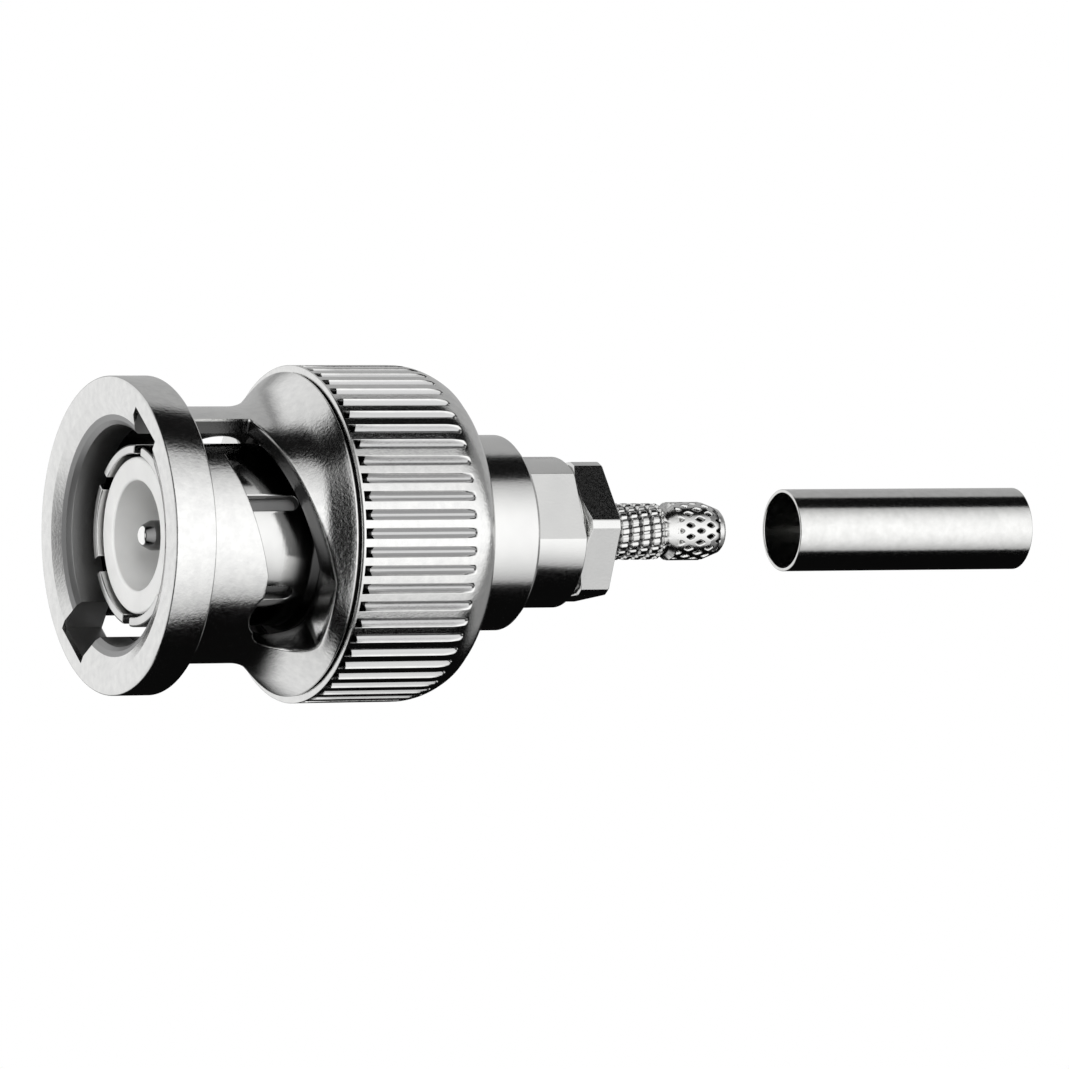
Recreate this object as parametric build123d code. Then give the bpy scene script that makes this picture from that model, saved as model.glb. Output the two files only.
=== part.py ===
from build123d import *
from math import asin, cos, degrees, pi, radians, sin, tan
import os

# Bayonet-locked coaxial cable plug with its loose crimp ferrule. Millimetres and degrees.
# The plug lies along X, mating end at -X and cable end at +X, with X = 0 at the outer contact's tip.
# Places called NAME_x are stations along X. Angles are turned about +X from -Y, the side
# that faces the viewer, downwards.

os.makedirs("parts", exist_ok=True)

# Clearances and small shared sizes
overrun = 1.0           # how far a cutter runs past the face that it opens
snap = 0.01             # how near an edge lies to the station where it is looked for
seat_gap = 0.02         # around pressed and bonded pieces
face_gap = 0.02         # between pieces that rest on each other
running_gap = 0.1       # around pieces that turn or slide
end_gap = 0.05          # between the nut's shoulder and the body's flange at rest
flange_room = 0.15      # between the body's flange and the nut's cavity

# Coupling nut, outside
nut_reach = 1.14        # how far the nut stands ahead of the contact's tip
neck_wall = 0.79
flange_height = 1.38    # above the neck
flange_length = 1.97
flange_edge = 0.12
flare_rim_drop = 0.3    # below the grip
flare_rim_from_front = 8.75
flare_rim_width = 0.08
relief_width = 0.11     # the narrow turned groove between the flare and the grip
relief_depth = 0.2
flare_angle = 43
flare_blend = 3.0
grip_wall = 1.43        # around the nut's cavity
crown_from_front = 13.9
crown_radius = 3.0
crown_length = 1.75
nut_rear_edge = 0.28
nut_rear_edge_angle = 48

# Coupling nut, inside
jack_shell_room = 0.87  # radial width between the outer contact and the nut's bore
nut_bore_edge = 0.2
face_lead_height = 0.85 # the wide cone in the nut's mouth, above the edge of its bore
face_lead_depth = 0.34
shoulder_from_front = 9.45

# Grip grooves
groove_count = 57
groove_width = 0.48
groove_depth = 0.24
groove_from_front = 9.43
groove_length = 5.3

# Bayonet slots: an entry along the axis, a rising ramp, a level end and a seat for the lug
slot_count = 2
entry_angle = -51.2
entry_width = 2.5
entry_height = 1.35     # from the nut's bore to the entry's flat floor
slot_width = 2.87
ramp_pitch = 10.26       # axial rise of the ramp in a full turn
knee_angle = 19         # where the ramp meets the level end
knee_from_front = 6.72
slot_end_angle = 45.5
slot_end_radius = 1.48
lug_seat_angle = 39.5
lug_seat_radius = 1.3
lug_seat_from_front = 6.15

# Outer contact
contact_wall = 0.44
contact_tip_edge = 0.12
finger_slot_count = 6
finger_slot_width = 0.7
finger_slot_length = 6.4
finger_slot_angle = 40
contact_base_step = 0.22
contact_cone_length = 0.35
contact_cone_x = 6.75
contact_seat_depth = 1.3

# Gasket and body
gasket_length = 0.8
gasket_cover = 0.42     # radial width of the sealing ring
flange_thickness = 1.5
barrel_wall = 0.9
barrel_edge = 0.2
barrel_length = 8.47
collar_wall = 1.02      # around the stem's bore
collar_length = 2.8
spanner_width = 6.06    # across the collar's flats and across the hexagon
collar_flat_count = 2
collar_flat_angle = -22.6
stem_bore_radius = 2.4

# Spring stack behind the body's flange
wave_count = 3
wave_height = 0.4       # crest above the middle of the wave
wave_point_count = 8         # guide points in each wave
spring_thickness = 0.25
spring_width = 1.2
washer_thickness = 0.5
ring_wall = 1.63        # radial width of the nut's rear ring, which the cavity follows
ring_inset = 0.15       # from the nut's rear face to the ring's
ring_edge = 0.25
opposite_phase = 180    # sets the second spring's waves crest against crest

# Insulators
insulator_wall = 1.05
insulator_room = 0.14   # between the insulator and the spring fingers
front_insulator_x = 0.23
front_insulator_edge = 0.1
recess_radius = 2.45
recess_depth = 5.6
front_insulator_grip = 3.2  # how far it reaches past the contact into the body
rear_insulator_length = 3.5

# Centre pin
pin_radius = 0.675
pin_tip_x = 0.46
pin_tip_radius = 0.42
pin_taper = 0.5
pin_root_radius = 0.5   # where the insulators hold it
pin_shoulder_radius = 1.2
pin_shoulder_length = 0.6
pin_barrel_radius = 0.95
pin_barrel_length = 2.6
wire_bore_radius = 0.3
wire_bore_depth = 2.2
sight_hole_radius = 0.25

# Crimp stem with its hexagon
stem_neck_height = 0.5  # above the spigot's bore
stem_neck_length = 0.12
hexagon_wall = 1.0      # from the spigot's bore to the hexagon's corners
hexagon_length = 1.62
hexagon_side_count = 6
hexagon_corner_angle = -6
hexagon_round = 0.22    # rounded by the turning tool before the flats are milled
stem_radius = 1.29
stem_root_length = 1.27
ring_groove_pitch = 0.545
ring_groove_depth = 0.16
ring_groove_count = 4
waist_radius = 1.1
waist_length = 0.42
knurl_radius = 1.33
knurl_edge = 0.22
knurl_length = 1.65
stem_tip_radius = 1.02
stem_taper = 0.95
stem_tip_edge = 0.1
cable_bore_radius = 0.8

# Crimp ferrule, set apart on the axis behind the stem
ferrule_radius = 1.88
ferrule_wall = 0.16
ferrule_length = 12.2
ferrule_edge = 0.06
ferrule_travel = 10.1  # from where it lies to the hexagon's rear face

# Radii that follow from the sizes above, from the middle outwards
front_insulator_radius = recess_radius + insulator_wall
contact_inner_radius = front_insulator_radius + insulator_room
contact_radius = contact_inner_radius + contact_wall
contact_base_radius = contact_radius + contact_base_step
body_bore_radius = front_insulator_radius + seat_gap
barrel_radius = body_bore_radius + barrel_wall
sleeve_inner_radius = barrel_radius + running_gap
cavity_radius = sleeve_inner_radius + ring_wall
body_flange_radius = cavity_radius - flange_room
nut_bore_radius = contact_radius + jack_shell_room
lead_in_radius = nut_bore_radius + nut_bore_edge
neck_radius = nut_bore_radius + neck_wall
flange_radius = neck_radius + flange_height
grip_radius = cavity_radius + grip_wall
flare_rim_radius = grip_radius - flare_rim_drop
collar_radius = stem_bore_radius + collar_wall
hexagon_radius = stem_bore_radius + hexagon_wall

# Stations along X that follow from the sizes above
nut_front_x = -nut_reach
shoulder_x = nut_front_x + shoulder_from_front
flange_front_x = shoulder_x + end_gap
flange_rear_x = flange_front_x + flange_thickness
contact_end_x = flange_front_x + contact_seat_depth
crown_end_x = nut_front_x + crown_from_front + crown_length
nut_rear_x = crown_end_x + nut_rear_edge
spring_height = spring_thickness + 2 * wave_height
front_spring_x = flange_rear_x + face_gap
rear_spring_x = front_spring_x + spring_height + face_gap
washer_x = rear_spring_x + spring_height + face_gap
ring_x = washer_x + washer_thickness + face_gap
recess_floor_x = front_insulator_x + recess_depth
front_insulator_end_x = contact_end_x + front_insulator_grip
rear_insulator_x = front_insulator_end_x + face_gap
insulator_end_x = rear_insulator_x + rear_insulator_length + face_gap
barrel_end_x = flange_rear_x + barrel_length
collar_end_x = barrel_end_x + collar_length
hexagon_x = collar_end_x + stem_neck_length
hexagon_end_x = hexagon_x + hexagon_length
knurl_x = hexagon_end_x + stem_root_length + ring_groove_count * ring_groove_pitch + waist_length
stem_tip_x = knurl_x + knurl_edge + knurl_length + stem_taper
ferrule_x = hexagon_end_x + ferrule_travel


def turned(*outline):
    # a solid of revolution about X from the corners (x, radius) of its half section
    return revolve(make_face(Polyline(*outline, close=True)), Axis.X)


def rims(solid, *places):
    # the widest circular edges of a turned piece at the given stations
    circles = solid.edges().filter_by(GeomType.CIRCLE)
    levels = [[edge for edge in circles if abs(edge.arc_center.X - x) < snap] for x in places]
    return [max(level, key=lambda edge: edge.radius) for level in levels]


def around(angle):
    # a turn about the plug's axis
    return Rot(angle, 0, 0)


def radial_drill(x, radius, depth):
    # a cutter that enters from the viewer's side, square to the axis
    drill = Cylinder(radius, depth, align=(Align.CENTER, Align.CENTER, Align.MIN))
    return Pos(x, 0, 0) * Rot(90, 0, 0) * drill


def cut_all(solid, cutters):
    for cutter in cutters:
        solid = solid - cutter
    return solid


def slot_cutters():
    # one bayonet slot, as a milling cutter would leave it
    depth = flare_rim_radius + overrun
    knee_x = nut_front_x + knee_from_front
    half_width = slot_width / 2
    entry = Pos(nut_front_x - overrun, 0, 0) * Box(
        knee_from_front - half_width + overrun, nut_bore_radius + entry_height, entry_width,
        align=(Align.MIN, Align.MAX, Align.CENTER),
    )

    # the ramp is a helical band, trimmed flush with the entry's far wall
    ramp_turn = knee_angle - entry_angle + degrees(asin(entry_width / nut_bore_radius))
    ramp_rise = ramp_pitch * ramp_turn / 360
    middle = (nut_bore_radius + flare_rim_radius) / 2
    thread = Helix(ramp_pitch, ramp_rise, middle)
    slope = ramp_pitch / (2 * pi * middle)
    square_width = slot_width / (1 + slope**2) ** 0.5
    section = Plane(origin=thread @ 0, x_dir=(1, 0, 0), z_dir=thread % 0) * Rectangle(
        depth - nut_bore_radius + overrun, square_width
    )
    band = Plane(origin=(0, 0, 0), x_dir=(0, -1, 0), z_dir=(1, 0, 0)) * sweep(
        section, path=thread, is_frenet=True
    )
    band = Pos(knee_x - ramp_rise, 0, 0) * around(knee_angle - ramp_turn) * band
    beyond_entry = around(entry_angle) * Pos(nut_front_x, 0, entry_width / 2) * Box(
        shoulder_from_front, 2 * depth, 2 * depth, align=(Align.MIN, Align.CENTER, Align.MAX)
    )
    ramp = band & beyond_entry

    level = around(knee_angle) * revolve(
        make_face(Polyline(
            (knee_x - slot_end_radius, -depth), (knee_x + slot_end_radius, -depth),
            (knee_x + slot_end_radius, 0), (knee_x - slot_end_radius, 0), close=True,
        )),
        Axis.X, slot_end_angle - knee_angle,
    )
    knee = around(knee_angle) * radial_drill(knee_x, half_width, depth)
    end = around(slot_end_angle) * radial_drill(knee_x, slot_end_radius, depth)
    seat = around(lug_seat_angle) * radial_drill(nut_front_x + lug_seat_from_front, lug_seat_radius, depth)
    return [around(entry_angle) * entry, ramp, level, knee, end, seat]


def coupling_nut():
    rim_x = nut_front_x + flare_rim_from_front
    relief_x = rim_x + flare_rim_width
    grip_x = relief_x + relief_width
    relief_radius = flare_rim_radius - relief_depth
    crown_x = nut_front_x + crown_from_front
    bend = radians(flare_angle)
    blend_end_radius = neck_radius + flare_blend * (1 - cos(bend))
    blend_end_x = rim_x - (flare_rim_radius - blend_end_radius) / tan(bend)
    blend_x = blend_end_x - flare_blend * sin(bend)
    crown_end_radius = grip_radius - crown_radius + (crown_radius**2 - crown_length**2) ** 0.5
    rear_radius = crown_end_radius - nut_rear_edge * tan(radians(nut_rear_edge_angle))
    flange_end_x = nut_front_x + flange_length
    lead_in_x = nut_front_x + face_lead_depth

    outline = Polyline(
        (shoulder_x, cavity_radius),
        (shoulder_x, nut_bore_radius),
        (lead_in_x + nut_bore_edge, nut_bore_radius),
        (lead_in_x, lead_in_radius),
        (nut_front_x, lead_in_radius + face_lead_height),
        (nut_front_x, flange_radius - flange_edge),
        (nut_front_x + flange_edge, flange_radius),
        (flange_end_x - flange_edge, flange_radius),
        (flange_end_x, flange_radius - flange_edge),
        (flange_end_x, neck_radius),
        (blend_x, neck_radius),
    )
    outline += TangentArc((blend_x, neck_radius), (blend_end_x, blend_end_radius), tangent=(1, 0))
    outline += Polyline(
        (blend_end_x, blend_end_radius), (rim_x, flare_rim_radius), (relief_x, flare_rim_radius),
        (relief_x, relief_radius), (grip_x, relief_radius), (grip_x, grip_radius),
        (crown_x, grip_radius),
    )
    outline += TangentArc((crown_x, grip_radius), (crown_end_x, crown_end_radius), tangent=(1, 0))
    outline += Polyline(
        (crown_end_x, crown_end_radius), (nut_rear_x, rear_radius),
        (nut_rear_x, cavity_radius), (shoulder_x, cavity_radius),
    )
    nut = revolve(make_face(outline), Axis.X)

    floor_radius = grip_radius - groove_depth
    groove = Pos(nut_front_x + groove_from_front, -floor_radius, 0) * Box(
        groove_length, groove_depth + overrun, groove_width,
        align=(Align.MIN, Align.MAX, Align.CENTER),
    )
    nut = nut - [around(360 * i / groove_count) * groove for i in range(groove_count)]

    slot = slot_cutters()
    for i in range(slot_count):
        nut = cut_all(nut, [around(360 * i / slot_count) * cutter for cutter in slot])
    return nut


def nut_rear_ring():
    # closes the nut's cavity behind the springs and runs on the barrel
    end_x = nut_rear_x - ring_inset
    outer = cavity_radius - seat_gap
    return turned(
        (ring_x, sleeve_inner_radius), (ring_x, outer), (end_x - ring_edge, outer),
        (end_x, outer - ring_edge), (end_x, sleeve_inner_radius + ring_edge),
        (end_x - ring_edge, sleeve_inner_radius),
    )


def thrust_washer():
    end_x = washer_x + washer_thickness
    outer = cavity_radius - running_gap
    return turned(
        (washer_x, sleeve_inner_radius), (washer_x, outer), (end_x, outer), (end_x, sleeve_inner_radius)
    )


def wave_spring(start_x, phase):
    # a ring of flat strip bent into even waves: four ruled faces between wavy loops
    def loop(radius, lift):
        count = wave_count * wave_point_count
        turns = [360 * i / count for i in range(count)]
        middle_x = start_x + wave_height + lift
        points = [
            (
                middle_x + wave_height * cos(radians(wave_count * turn + phase)),
                -radius * cos(radians(turn)),
                -radius * sin(radians(turn)),
            )
            for turn in turns
        ]
        return Spline(*points, periodic=True)

    outer = cavity_radius - 2 * running_gap
    corners = [
        loop(outer - spring_width, 0), loop(outer, 0),
        loop(outer, spring_thickness), loop(outer - spring_width, spring_thickness),
    ]
    faces = [Face.make_surface_from_curves(a, b) for a, b in zip(corners, corners[1:] + corners[:1])]
    return Solid(Shell(faces))


def outer_contact():
    # a sleeve split into spring fingers, pressed into the front of the body
    base_x = contact_cone_x + contact_cone_length
    sleeve = turned(
        (0, contact_inner_radius), (0, contact_radius - contact_tip_edge),
        (contact_tip_edge, contact_radius), (contact_cone_x, contact_radius),
        (base_x, contact_base_radius), (contact_end_x - face_gap, contact_base_radius),
        (contact_end_x - face_gap, contact_inner_radius),
    )
    half_width = finger_slot_width / 2
    cutter = Pos(-overrun, 0, 0) * Box(
        finger_slot_length - half_width + overrun, contact_base_radius + overrun, finger_slot_width,
        align=(Align.MIN, Align.MAX, Align.CENTER),
    )
    cutter += radial_drill(finger_slot_length - half_width, half_width, contact_base_radius + overrun)
    turns = [finger_slot_angle + 360 * i / finger_slot_count for i in range(finger_slot_count)]
    return sleeve - [around(turn) * cutter for turn in turns]


def gasket():
    inner = contact_base_radius + seat_gap
    return turned(
        (flange_front_x - face_gap - gasket_length, inner),
        (flange_front_x - face_gap - gasket_length, inner + gasket_cover),
        (flange_front_x - face_gap, inner + gasket_cover), (flange_front_x - face_gap, inner),
    )


def spanner_cutters(width, radius, x, length, count):
    # slabs that leave flats round a turned collar, the given width across
    reach = 2 * radius
    slab = Pos(x, -width / 2, 0) * Box(length, radius, reach, align=(Align.MIN, Align.MAX, Align.CENTER))
    return [around(360 * i / count) * slab for i in range(count)]


def plug_body():
    contact_bore = contact_base_radius + seat_gap
    body = turned(
        (flange_front_x, contact_bore), (flange_front_x, body_flange_radius),
        (flange_rear_x, body_flange_radius), (flange_rear_x, barrel_radius),
        (barrel_end_x - barrel_edge, barrel_radius),
        (barrel_end_x, barrel_radius - barrel_edge), (barrel_end_x, collar_radius),
        (collar_end_x, collar_radius), (collar_end_x, stem_bore_radius), (insulator_end_x, stem_bore_radius),
        (insulator_end_x, body_bore_radius), (contact_end_x, body_bore_radius),
        (contact_end_x, contact_bore),
    )
    flats = spanner_cutters(spanner_width, collar_radius, barrel_end_x, collar_length, collar_flat_count)
    return cut_all(body, [around(collar_flat_angle) * flat for flat in flats])


def front_insulator():
    hole = pin_root_radius + seat_gap
    edge = front_insulator_edge
    return turned(
        (front_insulator_x, recess_radius + edge), (front_insulator_x, front_insulator_radius - edge),
        (front_insulator_x + edge, front_insulator_radius),
        (front_insulator_end_x, front_insulator_radius),
        (front_insulator_end_x, hole), (recess_floor_x, hole), (recess_floor_x, recess_radius),
        (front_insulator_x + edge, recess_radius),
    )


def rear_insulator():
    shoulder_end_x = rear_insulator_x + pin_shoulder_length + face_gap
    wide = pin_shoulder_radius + seat_gap
    narrow = pin_barrel_radius + seat_gap
    outer = front_insulator_radius
    return turned(
        (rear_insulator_x, wide), (rear_insulator_x, outer), (insulator_end_x - face_gap, outer),
        (insulator_end_x - face_gap, narrow), (shoulder_end_x, narrow), (shoulder_end_x, wide),
    )


def center_pin():
    root_x = recess_floor_x - face_gap
    barrel_x = rear_insulator_x + pin_shoulder_length
    end_x = barrel_x + pin_barrel_length
    pin = turned(
        (pin_tip_x, 0), (pin_tip_x, pin_tip_radius), (pin_tip_x + pin_taper, pin_radius),
        (root_x, pin_radius), (root_x, pin_root_radius), (rear_insulator_x, pin_root_radius),
        (rear_insulator_x, pin_shoulder_radius), (barrel_x, pin_shoulder_radius),
        (barrel_x, pin_barrel_radius), (end_x, pin_barrel_radius), (end_x, wire_bore_radius),
        (end_x - wire_bore_depth, wire_bore_radius), (end_x - wire_bore_depth, 0),
    )
    return pin - radial_drill(end_x - wire_bore_depth / 2, sight_hole_radius, pin_barrel_radius + overrun)


def crimp_stem():
    # one turned piece: a spigot in the body's collar, the hexagon and the grooved stem
    neck = stem_bore_radius + stem_neck_height
    corners = [
        (insulator_end_x, cable_bore_radius), (insulator_end_x, stem_bore_radius - seat_gap),
        (collar_end_x + face_gap, stem_bore_radius - seat_gap), (collar_end_x + face_gap, neck),
        (hexagon_x, neck), (hexagon_x, hexagon_radius),
        (hexagon_end_x, hexagon_radius), (hexagon_end_x, stem_radius),
    ]
    groove_x = hexagon_end_x + stem_root_length
    for i in range(ring_groove_count):
        start = groove_x + i * ring_groove_pitch
        corners += [
            (start, stem_radius),
            (start + ring_groove_depth, stem_radius - ring_groove_depth),
            (start + 2 * ring_groove_depth, stem_radius),
        ]
    corners += [
        (knurl_x - waist_length, stem_radius), (knurl_x - waist_length / 2, waist_radius),
        (knurl_x, waist_radius), (knurl_x + knurl_edge, knurl_radius),
        (knurl_x + knurl_edge + knurl_length, knurl_radius),
        (stem_tip_x - stem_tip_edge, stem_tip_radius), (stem_tip_x, stem_tip_radius - stem_tip_edge),
        (stem_tip_x, cable_bore_radius),
    ]
    stem = turned(*corners)
    stem = fillet(rims(stem, hexagon_x, hexagon_end_x), hexagon_round)
    flats = spanner_cutters(spanner_width, hexagon_radius, hexagon_x, hexagon_length, hexagon_side_count)
    flat_angle = hexagon_corner_angle + 180 / hexagon_side_count
    return cut_all(stem, [around(flat_angle) * flat for flat in flats])


def crimp_ferrule():
    inner = ferrule_radius - ferrule_wall
    end_x = ferrule_x + ferrule_length
    edge = ferrule_edge
    return turned(
        (ferrule_x, inner + edge), (ferrule_x, ferrule_radius - edge), (ferrule_x + edge, ferrule_radius),
        (end_x - edge, ferrule_radius), (end_x, ferrule_radius - edge), (end_x, inner + edge),
        (end_x - edge, inner), (ferrule_x + edge, inner),
    )


nodes = {
    "coupling_nut": coupling_nut(),
    "nut_rear_ring": nut_rear_ring(),
    "thrust_washer": thrust_washer(),
    "front_wave_spring": wave_spring(front_spring_x, 0),
    "rear_wave_spring": wave_spring(rear_spring_x, opposite_phase),
    "gasket": gasket(),
    "outer_contact": outer_contact(),
    "plug_body": plug_body(),
    "front_insulator": front_insulator(),
    "rear_insulator": rear_insulator(),
    "center_pin": center_pin(),
    "crimp_stem": crimp_stem(),
    "crimp_ferrule": crimp_ferrule(),
}
for name, shape in nodes.items():
    export_step(shape, f"parts/{name}.step")
    box = shape.bounding_box()
    print(f"{name}: X {box.min.X:.2f} to {box.max.X:.2f}, volume {shape.volume:.2f} mm3")
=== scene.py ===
import math
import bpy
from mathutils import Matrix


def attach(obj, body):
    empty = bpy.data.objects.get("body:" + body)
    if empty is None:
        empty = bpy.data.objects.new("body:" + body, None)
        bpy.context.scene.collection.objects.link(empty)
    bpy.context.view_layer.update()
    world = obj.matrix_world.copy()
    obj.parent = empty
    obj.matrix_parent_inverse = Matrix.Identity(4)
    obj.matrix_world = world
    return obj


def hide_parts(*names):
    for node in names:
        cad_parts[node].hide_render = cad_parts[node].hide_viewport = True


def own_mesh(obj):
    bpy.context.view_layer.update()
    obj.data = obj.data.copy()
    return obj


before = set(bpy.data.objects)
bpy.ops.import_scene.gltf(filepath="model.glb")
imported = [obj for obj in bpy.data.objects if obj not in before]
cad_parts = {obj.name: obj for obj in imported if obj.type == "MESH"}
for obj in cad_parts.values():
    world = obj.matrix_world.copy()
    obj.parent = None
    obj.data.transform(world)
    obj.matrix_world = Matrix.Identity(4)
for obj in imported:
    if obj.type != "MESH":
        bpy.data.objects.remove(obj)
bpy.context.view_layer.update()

from types import SimpleNamespace

import bmesh
import bpy
import numpy as np
from mathutils import Matrix, Vector
from mathutils.geometry import delaunay_2d_cdt

print("frame loaded,", len(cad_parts), "nodes")

# Lengths below are in millimetres from the frame's origin, along the plug's axis or from it.
# Angles go round +X from -Y, the side that faces the camera, downwards.
mm = 0.001


# Shapes

mostOfSide = 0.45    # the most of a side that a corner's round takes
rimGap = 0.05    # the columns of a pierced surface keep this far from a hole's rim


def polar(x, radius, angle):
    turn = math.radians(angle)
    return Vector((x, -radius * math.cos(turn), -radius * math.sin(turn))) * mm


def spaced(first, last, steps):
    return [first + (last - first) * i / steps for i in range(steps + 1)]


def arc(centre, radius, start, end, steps):
    turns = [math.radians(angle) for angle in spaced(start, end, steps)]
    return [(centre[0] + radius * math.cos(turn), centre[1] + radius * math.sin(turn)) for turn in turns]


def rounded(corners, steps=3):
    # (x, radius) corners; a third value rounds that corner
    points = []
    for i, corner in enumerate(corners):
        here = Vector(corner[:2])
        if len(corner) < 3:
            points.append(tuple(here))
            continue
        back = Vector(corners[i - 1][:2]) - here
        ahead = Vector(corners[(i + 1) % len(corners)][:2]) - here
        half = back.angle(ahead) / 2
        reach = min(corner[2] / math.tan(half), mostOfSide * back.length, mostOfSide * ahead.length)
        size = reach * math.tan(half)
        centre = here + (back.normalized() + ahead.normalized()).normalized() * size / math.sin(half)
        first = here + back.normalized() * reach - centre
        last = here + ahead.normalized() * reach - centre
        for step in range(steps + 1):
            points.append(tuple(centre + first.slerp(last, step / steps).normalized() * size))
    return points


def placed(name, data):
    piece = bpy.data.objects.new(name, data)
    bpy.context.scene.collection.objects.link(piece)
    return piece


def newObject(name, bm):
    mesh = bpy.data.meshes.new(name)
    bm.to_mesh(mesh)
    bm.free()
    return placed(name, mesh)


def lathe(name, outline, segments):
    # turns a closed outline of (x, radius) about X
    bm = bmesh.new()
    rings = []
    for x, radius in outline:
        if radius < 1e-6:
            rings.append([bm.verts.new((x * mm, 0, 0))])
        else:
            rings.append([bm.verts.new(polar(x, radius, 360 * i / segments)) for i in range(segments)])
    for ring, following in zip(rings, rings[1:] + rings[:1]):
        for i in range(segments):
            j = (i + 1) % segments
            corners = [ring[i % len(ring)], following[i % len(following)],
                       following[j % len(following)], ring[j % len(ring)]]
            corners = list(dict.fromkeys(corners))
            if len(corners) > 2:
                bm.faces.new(corners)
    bmesh.ops.recalc_face_normals(bm, faces=bm.faces)
    return newObject(name, bm)


def ringAt(bm, x, radius, angles):
    return [bm.verts.new(polar(x, radius, angle)) for angle in angles]


def joinRings(bm, first, second):
    count = len(first)
    for i in range(count):
        j = (i + 1) % count
        bm.faces.new((first[i], second[i], second[j], first[j]))


def turnedStrip(bm, outline, angles):
    # an open turned surface; gives back its first and last ring
    rings = [ringAt(bm, x, radius, angles) for x, radius in outline]
    for ring, following in zip(rings, rings[1:]):
        joinRings(bm, ring, following)
    return rings[0], rings[-1]


def joinUneven(bm, first, firstAngles, second, secondAngles):
    # closes a flat annulus between rings that don't have the same number of points
    i = j = 0
    while i < len(first) or j < len(second):
        nextFirst = (list(firstAngles) + [firstAngles[0] + 360])[i + 1] if i < len(first) else 1e9
        nextSecond = (list(secondAngles) + [secondAngles[0] + 360])[j + 1] if j < len(second) else 1e9
        a, b = first[i % len(first)], second[j % len(second)]
        if nextFirst <= nextSecond:
            i += 1
            bm.faces.new((a, first[i % len(first)], b))
        else:
            j += 1
            bm.faces.new((a, second[j % len(second)], b))


def insideOutline(points, outline):
    inside = np.zeros(len(points), bool)
    for (x1, y1), (x2, y2) in zip(outline, np.roll(outline, -1, 0)):
        crosses = (y1 > points[:, 1]) != (y2 > points[:, 1])
        slope = (x2 - x1) / (y2 - y1) if y1 != y2 else 0
        inside ^= crosses & (points[:, 0] < slope * (points[:, 1] - y1) + x1)
    return inside


def distanceTo(points, outline):
    nearest = np.full(len(points), np.inf)
    for a, b in zip(outline, np.roll(outline, -1, 0)):
        along = np.clip((points - a) @ (b - a) / ((b - a) @ (b - a)), 0, 1)
        gap = points - a - along[:, None] * (b - a)
        nearest = np.minimum(nearest, np.linalg.norm(gap, axis=1))
    return nearest


def piercedSurface(bm, stations, radiusAt, angles, firstRing, lastRing, holes, unrollRadius):
    # a turned surface between two rings, with holes; a hole is a ring of (vertex, angle, x)
    flat, owners, edges = [], [], []

    def add(vertex, angle, x):
        flat.append((math.radians(angle) * unrollRadius, x))
        owners.append(vertex)
        return len(flat) - 1

    def chain(indices):
        edges.extend(zip(indices, indices[1:]))

    closed = list(angles) + [angles[0] + 360]
    outlines = []
    for hole in holes:
        indices = [add(*corner) for corner in hole]
        chain(indices + indices[:1])
        outlines.append(np.array([flat[i] for i in indices]))
    chain([add(firstRing[i % len(angles)], angle, stations[0]) for i, angle in enumerate(closed)])
    chain([add(lastRing[i % len(angles)], angle, stations[-1]) for i, angle in enumerate(closed)])
    spots = np.array([(math.radians(angle) * unrollRadius, x) for x in stations[1:-1] for angle in angles])
    blocked = np.zeros(len(spots), bool)
    for outline in outlines:
        blocked |= insideOutline(spots, outline) | (distanceTo(spots, outline) < rimGap)
    for row, x in enumerate(stations[1:-1]):
        for column, angle in enumerate(angles):
            if blocked[row * len(angles) + column]:
                continue
            vertex = bm.verts.new(polar(x, radiusAt(x), angle))
            add(vertex, angle, x)
            if column == 0:
                add(vertex, angle + 360, x)
    made = delaunay_2d_cdt([Vector(point) for point in flat], edges, [], 0, 1e-7)
    corners, faces, sources = made[0], made[2], made[3]
    middles = np.array([sum((corners[i] for i in face), Vector((0, 0))) / 3 for face in faces])
    inHole = np.zeros(len(faces), bool)
    for outline in outlines:
        inHole |= insideOutline(middles, outline)
    for face, hidden in zip(faces, inHole):
        if not hidden:
            bm.faces.new([owners[sources[i][0]] for i in face])


def grownPath(path, radius, distance):
    # moves a closed path of (angle, sideways, x) outwards by a distance
    spots = np.array([(math.radians(angle) * radius + side, x) for angle, side, x in path])
    ahead = np.roll(spots, -1, 0) - spots
    ahead /= np.linalg.norm(ahead, axis=1)[:, None]
    area = np.sum(spots[:, 0] * np.roll(spots[:, 1], -1) - np.roll(spots[:, 0], -1) * spots[:, 1])
    outward = np.stack([ahead[:, 1], -ahead[:, 0]], 1) * np.sign(area)
    both = outward + np.roll(outward, 1, 0)
    both /= np.maximum((both * both).sum(1) / 2, 0.8)[:, None]
    return [(angle, side + move[0] * distance, x + move[1] * distance)
            for (angle, side, x), move in zip(path, both)]


def slab(name, outline, near, far):
    # a cutter: an outline of (x, z) pushed from y = -near to y = -far
    bm = bmesh.new()
    inner = [bm.verts.new(Vector((x, -near, z)) * mm) for x, z in outline]
    outer = [bm.verts.new(Vector((x, -far, z)) * mm) for x, z in outline]
    bm.faces.new(inner)
    bm.faces.new(outer[::-1])
    for i in range(len(outline)):
        j = (i + 1) % len(outline)
        bm.faces.new((inner[j], inner[i], outer[i], outer[j]))
    bmesh.ops.recalc_face_normals(bm, faces=bm.faces)
    return newObject(name, bm)


def rectangle(start, end, width):
    return [(start, -width / 2), (end, -width / 2), (end, width / 2), (start, width / 2)]


# Node trees

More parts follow.
